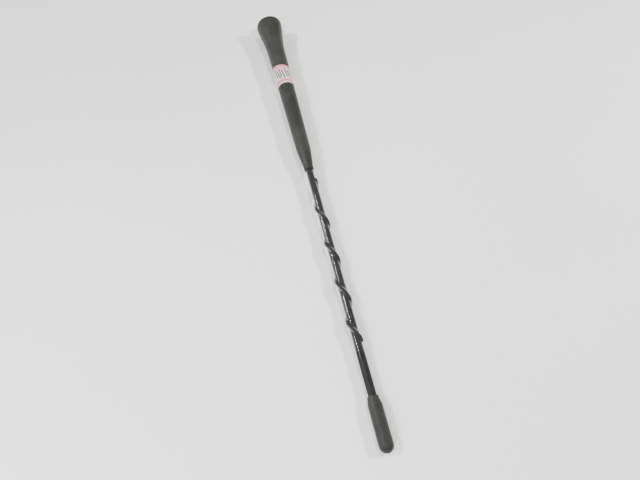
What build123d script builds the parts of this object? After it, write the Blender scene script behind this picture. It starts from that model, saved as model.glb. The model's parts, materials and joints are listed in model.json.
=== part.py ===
"""Flexible whip aerial mast with a rubber base boot and an anti-whistle spiral.

The mast lies along +X. The origin is the centre of the boot's seating face, +X runs from that face
to the tip, and +Z is up. All lengths are in millimetres and all angles in degrees.
"""

import os
from math import floor, pi, sqrt

from build123d import *

os.makedirs("parts", exist_ok=True)

# ---- Driving dimensions ----------------------------------------------------------------------------

# Whole mast
MAST_LENGTH = 280.0  # seating face to tip
BOOT_LENGTH = 124.0  # seating face to the boot's lip
TIP_CAP_LENGTH = 25.3

# Fits
RUNNING_GAP = 0.05  # radial, between a thread or pin and its hole
SNUG_GAP = 0.02  # radial, between parts of one body that are bonded or crimped
SLEEVE_GAP = 0.08  # radial, between the sleeve and the rubber that grips it
SPIGOT_GAP = 0.08  # radial, between a spigot and the spring screwed over it
BOOT_GAP = 0.3  # between the boot and what bends inside it
END_GAP = 0.2  # axial, between parts that stand end to end

# Boot, outside
RIM_RADIUS = 8.5
RIM_LAND = 1.6  # straight rim next to the seating face
RIM_ROUND = 0.45
RIM_SLOPE = 0.06  # fall in radius along the mast where the flare leaves the rim
FLARE_LENGTH = 28.0  # seating face to the neck
FLARE_BEND = 0.43  # share of the flare's length where its outline turns most
FLARE_DROP = 0.56  # share of the flare's drop in radius reached there
FLARE_FULLNESS = 0.15  # how far the outline stands proud there
NECK_RADIUS = 5.8
SHOULDER_RADIUS = 4.35  # where the long taper ends
SHOULDER_LENGTH = 17.0  # from the end of the long taper to the lip
LIP_LENGTH = 2.4
LIP_WALL = 0.62
LIP_ROUND = 0.35
LIP_SLOPE = 0.12  # change in radius along the mast where a shoulder meets its lip

# Fixing stud, M5 x 0.8, drawn at its outside diameter
STUD_RADIUS = 2.5
STUD_REACH = 6.5  # beyond the seating face
STUD_CHAMFER = 0.5
STUD_ENGAGED = 8.0  # length screwed into the ferrule: ten turns of thread
STUD_NECK_RADIUS = 2.0  # undercut that carries the seal ring
STUD_NECK_LENGTH = 2.2
STUD_RUNOUT = 1.3  # free hole beyond the stud's inner end
DRILL_POINT_SLOPE = 0.6  # depth of the hole's drilled point for each millimetre of radius
SOCKET_ACROSS_FLATS = 2.5
SOCKET_DEPTH = 2.5
SEAL_SECTION = 1.2  # thickness of the seal ring

# Base ferrule
FERRULE_RECESS = 0.6  # how far its face sits inside the boot
FERRULE_RADIUS = 4.6
BARREL_LENGTH = 13.4
GRIP_GROOVE_DEPTH = 0.6
GRIP_GROOVE_WIDTH = 1.5
GRIP_GROOVES = 2
KNURL_FLUTES = 24
KNURL_DEPTH = 0.25
SPIGOT_RADIUS = 2.1
SPIGOT_LENGTH = 8.0

# Flexing spring and bonding braid
SPRING_WIRE_RADIUS = 0.55
SPRING_PITCH = 1.35
BRAID_RADIUS = 0.8
BRAID_SEAT = 5.0  # depth that the braid enters each ferrule

# Rod
CORE_RADIUS = 1.5
ROD_FERRULE_WALL = 1.3
ROD_CUP_DEPTH = 18.0
ROD_CUP_FLOOR = 3.0
COIL_WIRE_RADIUS = 0.25
COIL_PITCH = 0.56
COIL_LENGTH = 12.0
SOLDER_LENGTH = 1.2
WINDING_WIRE_RADIUS = 0.125
WINDING_PITCH = 1.65
END_BAND_LENGTH = 3.0
SLEEVE_WALL = 0.36
SLEEVE_IN_BOOT = 16.5
SLEEVE_IN_CAP = 11.0
CORE_PAST_SLEEVE = 7.0

# Anti-whistle spiral, left-handed
CORD_RADIUS = 0.55
SPIRAL_PITCH = 24.2
SPIRAL_START_ANGLE = 8.0  # round the mast, from +Y towards +Z
HELIX_START_ANGLE = 90.0  # where a wound wire begins, measured the same way
SPIRAL_START_GAP = 7.0  # from the boot's lip to the first turn
SPIRAL_END_GAP = 25.0  # at least this much plain rod below the tip cap

# Tip cap
CAP_RADIUS = 3.55
CAP_SHOULDER = 4.6
CAP_LIP_LENGTH = 1.0
CAP_LIP_WALL = 0.62
CAP_LIP_ROUND = 0.3

# Paper label
LABEL_START = 42.4
LABEL_WIDTH = 16.5
LABEL_THICKNESS = 0.12
LABEL_ARC = 350.0
LABEL_FIRST_EDGE = -85.0  # round the mast, from +Y towards +Z, so that the open seam lies below

# ---- Places and sizes that follow ------------------------------------------------------------------

cap_start = MAST_LENGTH - TIP_CAP_LENGTH
shoulder_start = BOOT_LENGTH - SHOULDER_LENGTH

barrel_end = FERRULE_RECESS + BARREL_LENGTH
flex_start = barrel_end + SPIGOT_LENGTH
stud_end = STUD_NECK_LENGTH + STUD_ENGAGED
stud_hole_end = stud_end + STUD_RUNOUT
drill_point = (STUD_RADIUS + RUNNING_GAP) * DRILL_POINT_SLOPE

sleeve_start = BOOT_LENGTH - SLEEVE_IN_BOOT
coil_end = sleeve_start - END_GAP
coil_start = coil_end - COIL_LENGTH
cup_end = coil_start - SOLDER_LENGTH - END_GAP
cup_floor = cup_end - ROD_CUP_DEPTH
rod_barrel_start = cup_floor - ROD_CUP_FLOOR
flex_end = rod_barrel_start - SPIGOT_LENGTH

winding_radius = CORE_RADIUS + SNUG_GAP + WINDING_WIRE_RADIUS
winding_outside = winding_radius + WINDING_WIRE_RADIUS
coil_radius = CORE_RADIUS + SNUG_GAP + COIL_WIRE_RADIUS
coil_outside = coil_radius + COIL_WIRE_RADIUS
sleeve_bore = winding_outside + SNUG_GAP
sleeve_radius = sleeve_bore + SLEEVE_WALL
sleeve_end = cap_start + SLEEVE_IN_CAP
core_end = sleeve_end + CORE_PAST_SLEEVE
rod_cup_bore = CORE_RADIUS + SNUG_GAP
rod_ferrule_radius = rod_cup_bore + ROD_FERRULE_WALL
core_start = cup_floor + END_GAP

spring_radius = SPIGOT_RADIUS + SPIGOT_GAP + SPRING_WIRE_RADIUS
spring_outside = spring_radius + SPRING_WIRE_RADIUS
braid_hole = BRAID_RADIUS + 2 * RUNNING_GAP

spiral_radius = sleeve_radius + SNUG_GAP + CORD_RADIUS
spiral_start = BOOT_LENGTH + SPIRAL_START_GAP
spiral_turns = floor((cap_start - SPIRAL_END_GAP - spiral_start) / SPIRAL_PITCH)

lip_radius = sleeve_radius + SLEEVE_GAP + LIP_WALL
cap_lip_radius = sleeve_radius + SLEEVE_GAP + CAP_LIP_WALL
seal_mean_radius = STUD_NECK_RADIUS + RUNNING_GAP + SEAL_SECTION / 2
seal_pocket_radius = seal_mean_radius + SEAL_SECTION / 2 + RUNNING_GAP
taper = (NECK_RADIUS - SHOULDER_RADIUS) / (shoulder_start - FLARE_LENGTH)
flare_bend_radius = RIM_RADIUS - FLARE_DROP * (RIM_RADIUS - NECK_RADIUS) + FLARE_FULLNESS


def boot_radius(x):
    """Radius of the boot's long taper at a distance x from the seating face."""
    return NECK_RADIUS - taper * (x - FLARE_LENGTH)


# ---- Boot ------------------------------------------------------------------------------------------

# The cavity steps past each part inside: barrel, spring, rod ferrule, coil and sleeve.
CAVITY_STEPS = [
    (barrel_end, FERRULE_RADIUS + SNUG_GAP),
    (rod_barrel_start - BOOT_GAP, spring_outside + BOOT_GAP),
    (coil_start - END_GAP, rod_ferrule_radius + BOOT_GAP),
    (sleeve_start - END_GAP, coil_outside + BOOT_GAP),
    (BOOT_LENGTH, sleeve_radius + SLEEVE_GAP),
]

with BuildPart() as boot:
    with BuildSketch(Plane.XY) as boot_section:
        with BuildLine() as boot_outline:
            Polyline((0, 0), (0, RIM_RADIUS), (RIM_LAND, RIM_RADIUS))
            Spline(
                (RIM_LAND, RIM_RADIUS),
                (FLARE_BEND * FLARE_LENGTH, flare_bend_radius),
                (FLARE_LENGTH, NECK_RADIUS),
                tangents=[(1, -RIM_SLOPE), (1, -taper)],
            )
            Line((FLARE_LENGTH, NECK_RADIUS), (shoulder_start, SHOULDER_RADIUS))
            Spline(
                (shoulder_start, SHOULDER_RADIUS),
                (BOOT_LENGTH - LIP_LENGTH, lip_radius),
                tangents=[(1, -taper), (1, -LIP_SLOPE)],
            )
            Polyline((BOOT_LENGTH - LIP_LENGTH, lip_radius), (BOOT_LENGTH, lip_radius), (BOOT_LENGTH, 0))
            Line((BOOT_LENGTH, 0), (0, 0))
        make_face()
        rim_corners = boot_section.vertices().group_by(Axis.Y)[-1]
        fillet(rim_corners.sort_by(Axis.X)[0], RIM_ROUND)
    revolve(axis=Axis.X)
    fillet(boot.edges().filter_by(GeomType.CIRCLE).sort_by(Axis.X)[-1], LIP_ROUND)
    step_start = 0.0
    for step_end, step_radius in CAVITY_STEPS:
        with BuildSketch(Plane.YZ.offset(step_start)):
            Circle(step_radius)
        extrude(amount=step_end - step_start, mode=Mode.SUBTRACT)
        step_start = step_end
boot.part.label = "boot"
export_step(boot.part, "parts/boot.step")

# ---- Base ferrule, stud and seal ring --------------------------------------------------------------

with BuildPart() as base_ferrule:
    with BuildSketch(Plane.YZ.offset(FERRULE_RECESS)):
        Circle(FERRULE_RADIUS)
    extrude(amount=BARREL_LENGTH)
    with BuildSketch(Plane.YZ.offset(FERRULE_RECESS)):
        with PolarLocations(FERRULE_RADIUS, KNURL_FLUTES):
            Rectangle(2 * KNURL_DEPTH, 2 * KNURL_DEPTH, rotation=45)
    extrude(amount=BARREL_LENGTH, mode=Mode.SUBTRACT)
    groove_pitch = BARREL_LENGTH / (GRIP_GROOVES + 1)
    for groove in range(GRIP_GROOVES):
        groove_middle = FERRULE_RECESS + (groove + 1) * groove_pitch
        with BuildSketch(Plane.YZ.offset(groove_middle - GRIP_GROOVE_WIDTH / 2)):
            Circle(FERRULE_RADIUS + 1)
            Circle(FERRULE_RADIUS - GRIP_GROOVE_DEPTH, mode=Mode.SUBTRACT)
        extrude(amount=GRIP_GROOVE_WIDTH, mode=Mode.SUBTRACT)
    with BuildSketch(Plane.YZ.offset(barrel_end)):
        Circle(SPIGOT_RADIUS)
    extrude(amount=SPIGOT_LENGTH)
    with BuildSketch(Plane.XY):
        with BuildLine():
            Polyline(
                (0, 0),
                (0, seal_pocket_radius),
                (STUD_NECK_LENGTH, seal_pocket_radius),
                (STUD_NECK_LENGTH, STUD_RADIUS + RUNNING_GAP),
                (stud_hole_end, STUD_RADIUS + RUNNING_GAP),
                (stud_hole_end + drill_point, 0),
                close=True,
            )
        make_face()
    revolve(axis=Axis.X, mode=Mode.SUBTRACT)
    with BuildSketch(Plane.YZ.offset(flex_start - BRAID_SEAT - END_GAP)):
        Circle(braid_hole)
    extrude(amount=BRAID_SEAT + END_GAP, mode=Mode.SUBTRACT)
base_ferrule.part.label = "base_ferrule"
export_step(base_ferrule.part, "parts/base_ferrule.step")

with BuildPart() as fixing_stud:
    with BuildSketch(Plane.YZ.offset(-STUD_REACH)):
        Circle(STUD_RADIUS)
    extrude(amount=STUD_REACH)
    chamfer(fixing_stud.faces().sort_by(Axis.X)[0].edges(), STUD_CHAMFER)
    with BuildSketch(Plane.YZ):
        Circle(STUD_NECK_RADIUS)
    extrude(amount=STUD_NECK_LENGTH)
    with BuildSketch(Plane.YZ.offset(STUD_NECK_LENGTH)):
        Circle(STUD_RADIUS)
    extrude(amount=STUD_ENGAGED)
    chamfer(fixing_stud.faces().sort_by(Axis.X)[-1].edges(), STUD_CHAMFER)
    with BuildSketch(Plane.YZ.offset(-STUD_REACH)):
        RegularPolygon(SOCKET_ACROSS_FLATS / 2, 6, major_radius=False)
    extrude(amount=SOCKET_DEPTH, mode=Mode.SUBTRACT)
fixing_stud.part.label = "fixing_stud"
export_step(fixing_stud.part, "parts/fixing_stud.step")

with BuildPart() as seal_ring:
    with BuildSketch(Plane.XY):
        with Locations((STUD_NECK_LENGTH / 2 + FERRULE_RECESS / 2, seal_mean_radius)):
            Circle(SEAL_SECTION / 2)
    revolve(axis=Axis.X)
seal_ring.part.label = "seal_ring"
export_step(seal_ring.part, "parts/seal_ring.step")

# ---- Flexing spring and bonding braid --------------------------------------------------------------


def whole_turns(length, wire_radius, pitch):
    """How many whole turns of a wire fit in a length."""
    return floor((length - 2 * wire_radius) / pitch)


def wound_wire(start, turns, radius, wire_radius, pitch, lefthand=False):
    """A round wire wound about the mast's axis, from start towards the tip."""
    with BuildPart() as wire:
        with BuildLine() as wire_path:
            Helix(
                pitch=pitch,
                height=turns * pitch,
                radius=radius,
                center=(start, 0, 0),
                direction=(1, 0, 0),
                lefthand=lefthand,
            )
        with BuildSketch(wire_path.line ^ 0):
            Circle(wire_radius)
        sweep(is_frenet=True)
    return wire


spring_space = rod_barrel_start - barrel_end - 2 * END_GAP
flex_spring = wound_wire(
    barrel_end + END_GAP + SPRING_WIRE_RADIUS,
    whole_turns(spring_space, SPRING_WIRE_RADIUS, SPRING_PITCH),
    spring_radius,
    SPRING_WIRE_RADIUS,
    SPRING_PITCH,
)
flex_spring.part.label = "flex_spring"
export_step(flex_spring.part, "parts/flex_spring.step")

with BuildPart() as bonding_braid:
    with BuildSketch(Plane.YZ.offset(flex_start - BRAID_SEAT)):
        Circle(BRAID_RADIUS)
    extrude(amount=flex_end - flex_start + 2 * BRAID_SEAT)
bonding_braid.part.label = "bonding_braid"
export_step(bonding_braid.part, "parts/bonding_braid.step")

# ---- Rod -------------------------------------------------------------------------------------------

with BuildPart() as rod_ferrule:
    with BuildSketch(Plane.YZ.offset(flex_end)):
        Circle(SPIGOT_RADIUS)
    extrude(amount=SPIGOT_LENGTH)
    with BuildSketch(Plane.YZ.offset(rod_barrel_start)):
        Circle(rod_ferrule_radius)
    extrude(amount=cup_end - rod_barrel_start)
    with BuildSketch(Plane.YZ.offset(cup_floor)):
        Circle(rod_cup_bore)
    extrude(amount=ROD_CUP_DEPTH, mode=Mode.SUBTRACT)
    with BuildSketch(Plane.YZ.offset(flex_end)):
        Circle(braid_hole)
    extrude(amount=BRAID_SEAT + END_GAP, mode=Mode.SUBTRACT)
rod_ferrule.part.label = "rod_ferrule"
export_step(rod_ferrule.part, "parts/rod_ferrule.step")

with BuildPart() as core_rod:
    with BuildSketch(Plane.YZ.offset(core_start)):
        Circle(CORE_RADIUS)
    extrude(amount=core_end - core_start)
    chamfer(core_rod.faces().sort_by(Axis.X)[-1].edges(), CORE_RADIUS / 4)
core_rod.part.label = "core_rod"
export_step(core_rod.part, "parts/core_rod.step")

with BuildPart() as solder_joint:
    with BuildSketch(Plane.XY):
        with BuildLine():
            Polyline(
                (cup_end, rod_cup_bore),
                (cup_end, rod_ferrule_radius - ROD_FERRULE_WALL / 3),
                (cup_end + SOLDER_LENGTH, rod_cup_bore + COIL_WIRE_RADIUS),
                (cup_end + SOLDER_LENGTH, rod_cup_bore),
                close=True,
            )
        make_face()
    revolve(axis=Axis.X)
solder_joint.part.label = "solder_joint"
export_step(solder_joint.part, "parts/solder_joint.step")

loading_coil = wound_wire(
    coil_start + COIL_WIRE_RADIUS,
    whole_turns(COIL_LENGTH, COIL_WIRE_RADIUS, COIL_PITCH),
    coil_radius,
    COIL_WIRE_RADIUS,
    COIL_PITCH,
)
loading_coil.part.label = "loading_coil"
export_step(loading_coil.part, "parts/loading_coil.step")

band_start = cap_start - END_GAP - END_BAND_LENGTH
winding_space = band_start - sleeve_start - 2 * END_GAP
radiator_winding = wound_wire(
    sleeve_start + END_GAP + WINDING_WIRE_RADIUS,
    whole_turns(winding_space, WINDING_WIRE_RADIUS, WINDING_PITCH),
    winding_radius,
    WINDING_WIRE_RADIUS,
    WINDING_PITCH,
)
radiator_winding.part.label = "radiator_winding"
export_step(radiator_winding.part, "parts/radiator_winding.step")

with BuildPart() as winding_end_band:
    with BuildSketch(Plane.YZ.offset(band_start)):
        Circle(winding_outside)
        Circle(CORE_RADIUS + SNUG_GAP, mode=Mode.SUBTRACT)
    extrude(amount=END_BAND_LENGTH)
winding_end_band.part.label = "winding_end_band"
export_step(winding_end_band.part, "parts/winding_end_band.step")

# ---- Outer sleeve and the anti-whistle cord wound on it --------------------------------------------

spiral = wound_wire(spiral_start, spiral_turns, spiral_radius, CORD_RADIUS, SPIRAL_PITCH, lefthand=True)
with BuildPart() as anti_whistle_cord:
    add(spiral.part, rotation=(SPIRAL_START_ANGLE - HELIX_START_ANGLE, 0, 0))
anti_whistle_cord.part.label = "anti_whistle_cord"
export_step(anti_whistle_cord.part, "parts/anti_whistle_cord.step")

with BuildPart() as outer_sleeve:
    with BuildSketch(Plane.YZ.offset(sleeve_start)):
        Circle(sleeve_radius)
        Circle(sleeve_bore, mode=Mode.SUBTRACT)
    extrude(amount=sleeve_end - sleeve_start)
outer_sleeve.part.label = "outer_sleeve"
export_step(outer_sleeve.part, "parts/outer_sleeve.step")

# ---- Tip cap ---------------------------------------------------------------------------------------

with BuildPart() as tip_cap:
    with BuildSketch(Plane.XY):
        with BuildLine():
            Polyline((cap_start, 0), (cap_start, cap_lip_radius), (cap_start + CAP_LIP_LENGTH, cap_lip_radius))
            Spline(
                (cap_start + CAP_LIP_LENGTH, cap_lip_radius),
                (cap_start + CAP_SHOULDER, CAP_RADIUS),
                tangents=[(1, LIP_SLOPE), (1, 0)],
            )
            Line((cap_start + CAP_SHOULDER, CAP_RADIUS), (MAST_LENGTH - CAP_RADIUS, CAP_RADIUS))
            RadiusArc((MAST_LENGTH - CAP_RADIUS, CAP_RADIUS), (MAST_LENGTH, 0), CAP_RADIUS)
            Line((MAST_LENGTH, 0), (cap_start, 0))
        make_face()
    revolve(axis=Axis.X)
    fillet(tip_cap.faces().filter_by(Axis.X).sort_by(Axis.X)[0].edges(), CAP_LIP_ROUND)
    with BuildSketch(Plane.YZ.offset(cap_start)):
        Circle(sleeve_radius + SNUG_GAP)
    extrude(amount=SLEEVE_IN_CAP + END_GAP, mode=Mode.SUBTRACT)
    with BuildSketch(Plane.YZ.offset(sleeve_end)):
        Circle(CORE_RADIUS + SNUG_GAP)
    extrude(amount=CORE_PAST_SLEEVE + END_GAP, mode=Mode.SUBTRACT)
tip_cap.part.label = "tip_cap"
export_step(tip_cap.part, "parts/tip_cap.step")

# ---- Paper label -----------------------------------------------------------------------------------

label_end = LABEL_START + LABEL_WIDTH
with BuildPart() as paper_label:
    with BuildSketch(Plane.XY.rotated((LABEL_FIRST_EDGE, 0, 0))):
        with BuildLine():
            Polyline(
                (LABEL_START, boot_radius(LABEL_START) + SNUG_GAP),
                (LABEL_START, boot_radius(LABEL_START) + SNUG_GAP + LABEL_THICKNESS),
                (label_end, boot_radius(label_end) + SNUG_GAP + LABEL_THICKNESS),
                (label_end, boot_radius(label_end) + SNUG_GAP),
                close=True,
            )
        make_face()
    revolve(axis=Axis.X, revolution_arc=LABEL_ARC)
paper_label.part.label = "paper_label"
export_step(paper_label.part, "parts/paper_label.step")

# ---- What the joints need --------------------------------------------------------------------------

# The boot bends in two lengths, one for each plane, and they meet under the label's lower edge.
pitch_pivot = (flex_start + LABEL_START) / 2
yaw_pivot = (LABEL_START + flex_end) / 2
cord_turn = sqrt((2 * pi * spiral_radius) ** 2 + SPIRAL_PITCH**2)
print("flexing length", round(flex_start, 3), "to", round(flex_end, 3))
print("pitch pivot", round(pitch_pivot, 3), "yaw pivot", round(yaw_pivot, 3))
print("rod radius", round(sleeve_radius, 3), "sleeve from", round(sleeve_start, 3), "to", round(sleeve_end, 3))
print("spiral turns", spiral_turns, "cord length", round(spiral_turns * cord_turn, 1))
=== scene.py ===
"""Flexible whip aerial mast: the finished surfaces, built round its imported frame.

The mast lies along +X with its seating face at the origin, and +Z is up. Lengths are in metres.
Angles round the mast are in degrees, from +Y towards +Z.
"""

import json
from math import atan2, cos, pi, radians, sin

import bmesh
import bpy
import numpy as np
from bpy.props import FloatProperty, FloatVectorProperty, IntProperty, PointerProperty
from mathutils import Matrix, Vector
from mathutils.kdtree import KDTree


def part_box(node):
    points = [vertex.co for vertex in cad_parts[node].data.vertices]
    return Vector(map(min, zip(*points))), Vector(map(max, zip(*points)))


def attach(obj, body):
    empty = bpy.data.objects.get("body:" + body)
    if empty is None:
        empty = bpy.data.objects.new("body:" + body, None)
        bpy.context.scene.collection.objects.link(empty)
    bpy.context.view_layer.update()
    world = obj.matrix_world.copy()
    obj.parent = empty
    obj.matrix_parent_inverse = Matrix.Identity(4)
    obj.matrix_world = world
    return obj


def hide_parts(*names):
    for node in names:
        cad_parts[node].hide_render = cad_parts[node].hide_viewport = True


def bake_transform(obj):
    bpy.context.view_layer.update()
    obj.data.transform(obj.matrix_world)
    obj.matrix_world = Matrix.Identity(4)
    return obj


bl_info = {
    "name": "Whip aerial mast",
    "version": (1, 0, 0),
    "blender": (4, 5, 0),
    "location": "View3D > Sidebar > Mast",
    "description": "Builds the finished surfaces of a flexible whip aerial mast round its packed frame",
    "category": "Object",
}

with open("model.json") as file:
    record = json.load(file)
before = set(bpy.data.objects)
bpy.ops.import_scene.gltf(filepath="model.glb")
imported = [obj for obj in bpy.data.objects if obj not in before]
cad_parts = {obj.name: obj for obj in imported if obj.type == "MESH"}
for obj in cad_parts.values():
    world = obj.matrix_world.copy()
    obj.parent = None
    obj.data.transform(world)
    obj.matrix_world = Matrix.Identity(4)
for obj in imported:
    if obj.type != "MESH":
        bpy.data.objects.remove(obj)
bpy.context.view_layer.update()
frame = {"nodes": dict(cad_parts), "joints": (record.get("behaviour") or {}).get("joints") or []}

MM = 0.001

# ---- Places that come from the frame ----


def start_of(node):
    """Where a node begins along the mast."""
    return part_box(node)[0].x


def end_of(node):
    """Where a node ends along the mast."""
    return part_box(node)[1].x


def radius_of(node):
    """A node's largest radius about the mast's axis."""
    return max(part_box(node)[1].y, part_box(node)[1].z)


def pivot_of(joint):
    """Where a hinge crosses the mast's axis."""
    return next(j["pos_m"][0] for j in frame["joints"] if j["name"] == joint)


ROD_RADIUS = radius_of("outer_sleeve")
RIM_RADIUS = radius_of("boot")
CAP_RADIUS = radius_of("tip_cap")
BOOT_END = end_of("boot")
MAST_END = end_of("tip_cap")
BOOT_FLEX_START = end_of("base_ferrule")
PITCH_PIVOT = pivot_of("flex_pitch")
PITCH_END = 2 * PITCH_PIVOT - BOOT_FLEX_START
BOOT_SPLIT = PITCH_END + 2 * MM

# ---- Sizes that several pieces share ----

SNUG = 0.02 * MM
CLEAR = 0.3 * MM
END_GAP = 0.2 * MM
SLEEVE_WALL = 0.34 * MM
RIM_SLOPE, BEND_SLOPE, LIP_SLOPE = -0.06, -0.146, -0.12
FRONT_ANGLE = radians(98)
SIDE_ANGLE = radians(8)

# Where the spiral has made so many turns, in millimetres along the mast. Its first turn is the longest.
SPIRAL_PLACES = ((131.5, 0), (150, 0.5), (160.8, 1), (183.6, 2), (206.4, 3), (228.2, 4))
SPIRAL_START, SPIRAL_END = SPIRAL_PLACES[0][0] * MM, SPIRAL_PLACES[-1][0] * MM

# ---- Settings ----


def length(name, description, default):
    """A length in metres that a user can change."""
    return FloatProperty(name=name, description=description, default=default, min=0, unit="LENGTH")


def turn(name, description, default):
    """An angle that a user can change, given in degrees."""
    return FloatProperty(name=name, description=description, default=radians(default), subtype="ANGLE")


def share(name, description, default):
    """A share from 0 to 1 that a user can change."""
    return FloatProperty(
        name=name, description=description, default=default, min=0, max=1, subtype="FACTOR"
    )


def colour(name, description, default):
    """A linear colour that a user can change."""
    return FloatVectorProperty(
        name=name, description=description, default=default, min=0, max=1, size=3, subtype="COLOR"
    )


class BootSettings(bpy.types.PropertyGroup):
    """Sizes and colours of the rubber boot."""

    rim_land: length("Rim land", "Straight rim next to the seating face", 1.6 * MM)
    rim_round: length("Rim round", "Rounding of the rim's corner", 0.45 * MM)
    bend_place: length("Flare bend", "Where the flare's outline turns most", 12.04 * MM)
    bend_radius: length("Flare bend radius", "Radius of the flare where it turns most", 7.14 * MM)
    flare_length: length("Flare length", "From the seating face to the neck", 28 * MM)
    neck_radius: length("Neck radius", "Radius where the long taper begins", 5.8 * MM)
    shoulder_length: length("Shoulder length", "From the end of the long taper to the lip", 17 * MM)
    shoulder_radius: length("Shoulder radius", "Radius where the long taper ends", 4.35 * MM)
    lip_length: length("Lip length", "Straight lip that grips the rod", 2.4 * MM)
    lip_wall: length("Lip wall", "Rubber round the rod at the lip", 0.7 * MM)
    lip_round: length("Lip round", "Rounding of the lip's outer corner", 0.35 * MM)
    colour: colour("Rubber", "Colour of the boot's rubber", (0.020, 0.0205, 0.0180))
    dust: colour("Bloom", "Pale bloom that rubber gets with age", (0.044, 0.045, 0.040))
    dust_amount: share("Bloom amount", "How much of the boot the bloom covers", 0.45)


class SleeveSettings(bpy.types.PropertyGroup):
    """Sizes and colours of the sleeve and of the spiral under it."""

    rib_pitch: length("Rib pitch", "Spacing of the wire whose turns show through the sleeve", 1.65 * MM)
    rib_height: length("Rib height", "How far each turn of wire lifts the sleeve", 0.08 * MM)
    rib_start: length("Rib start", "Where the ribs begin above the boot", 4.6 * MM)
    ridge_height: length("Ridge height", "How far the cord lifts the sleeve", 1.05 * MM)
    ridge_half_width: length("Ridge half width", "From the ridge's top to flat sleeve", 1.3 * MM)
    cord_radius: length("Cord radius", "Radius of the cord under the sleeve", 0.42 * MM)
    start_angle: turn("Spiral start", "Where the spiral begins round the mast", 8)
    steps_round: IntProperty(name="Steps", description="Faces round the sleeve", default=56, min=24)
    step_length: length("Step length", "Length of the sleeve's faces", 0.22 * MM)
    colour: colour("Sleeve", "Colour of the shrunk sleeve", (0.013, 0.013, 0.0125))
    cord_colour: colour("Cord", "Colour of the cord under the sleeve", (0.04, 0.04, 0.04))


class CapSettings(bpy.types.PropertyGroup):
    """Sizes and colours of the tip cap."""

    lip_wall: length("Lip wall", "Rubber round the rod at the cap's lip", 0.7 * MM)
    lip_round: length("Lip round", "Rounding of the lip's outer corner", 0.3 * MM)
    lip_length: length("Lip length", "Straight lip at the cap's open end", 1 * MM)
    shoulder_length: length("Shoulder", "From the open end to the cap's full radius", 4.6 * MM)
    colour: colour("Cap", "Colour of the cap's rubber", (0.018, 0.0185, 0.0172))
    dust: colour("Bloom", "Pale bloom on the cap", (0.038, 0.039, 0.036))


class LabelSettings(bpy.types.PropertyGroup):
    """Sizes and colours of the paper label."""

    lower_edge: length("Lower edge", "Mean place of the edge nearer the seating face", 42.5 * MM)
    upper_edge: length("Upper edge", "Place of the edge nearer the tip", 58.6 * MM)
    skew_across: length("Skew across", "How far the lower edge leans from side to side", 1 * MM)
    skew_front: length("Skew front", "How far the lower edge leans from front to back", 0.7 * MM)
    thickness: length("Thickness", "Thickness of the paper", 0.11 * MM)
    gap: length("Gap", "Space between paper and rubber", 0.02 * MM)
    overlap: turn("Overlap", "How far the label's ends overlap", 8)
    seam_angle: turn("Seam", "Where the overlap lies round the mast", -90)
    paper: colour("Paper", "Colour of the paper", (0.60, 0.56, 0.52))
    border: colour("Border", "Colour of the printed bands", (0.60, 0.17, 0.19))
    edge_ink: colour("Edge ink", "Colour of the printed line at the lower edge", (0.62, 0.16, 0.20))
    pen: colour("Pen", "Colour of the pen strokes", (0.05, 0.05, 0.06))


class StudSettings(bpy.types.PropertyGroup):
    """Sizes and colours of the fixing stud and the parts that flex."""

    thread_pitch: length("Thread pitch", "Pitch of the stud's thread", 0.8 * MM)
    thread_depth: length("Thread depth", "Depth of the stud's thread", 0.45 * MM)
    neck_radius: length("Neck radius", "Radius of the undercut for the seal ring", 2 * MM)
    neck_length: length("Neck length", "Length of the undercut for the seal ring", 2.2 * MM)
    chamfer: length("Chamfer", "Chamfer at the stud's ends", 0.5 * MM)
    socket_flats: length("Socket", "Width across the flats of the hexagon socket", 2.5 * MM)
    socket_depth: length("Socket depth", "Depth of the hexagon socket", 2.5 * MM)
    spring_wire: length("Spring wire", "Radius of the flexing spring's wire", 0.55 * MM)
    spring_pitch: length("Spring pitch", "Spacing of the flexing spring's turns", 1.35 * MM)
    strand_depth: length("Strand depth", "How deep the braid's strands are", 0.06 * MM)


class StageSettings(bpy.types.PropertyGroup):
    """The table, the lights and the camera."""

    table_size: length("Table size", "Length of the table's sides", 6.0)
    table_colour: colour("Table", "Colour of the table", (0.80, 0.81, 0.80))
    heading: turn("Heading", "How far the view is turned from the mast's own direction", 13.64)
    tilt: turn("Camera tilt", "How far the camera looks down", 62.58)
    distance: length("Camera distance", "From the camera to the table", 266.8 * MM)
    lens: FloatProperty(name="Lens", description="Focal length in millimetres", default=27, min=1)


# ---- Shapes ----


def curve_through(knots, x):
    """Height at x of a smooth curve through knots, each a place, a height and a slope."""
    places, heights, slopes = (np.array(column, float) for column in zip(*knots))
    x = np.asarray(x, float)
    left = np.clip(np.searchsorted(places, x) - 1, 0, len(places) - 2)
    span = places[left + 1] - places[left]
    t = np.clip((x - places[left]) / span, 0, 1)
    return (
        (1 + 2 * t) * (1 - t) ** 2 * heights[left]
        + t * (1 - t) ** 2 * span * slopes[left]
        + t**2 * (3 - 2 * t) * heights[left + 1]
        + t**2 * (t - 1) * span * slopes[left + 1]
    )


def smooth_step(x, start, end):
    """0 before start, 1 after end, and smooth between."""
    t = np.clip((x - start) / (end - start), 0, 1)
    return t * t * (3 - 2 * t)


def stations(start, end, step):
    """Evenly spaced places from start to end, about a step apart."""
    return np.linspace(start, end, max(2, round((end - start) / step) + 1))


def corner(x, radius, size, start_angle, points=5):
    """A quarter circle that rounds a corner. x and radius are its centre."""
    angles = np.radians(np.linspace(start_angle, start_angle - 90, points))
    return [(x + size * cos(a), radius + size * sin(a)) for a in angles]


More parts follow.
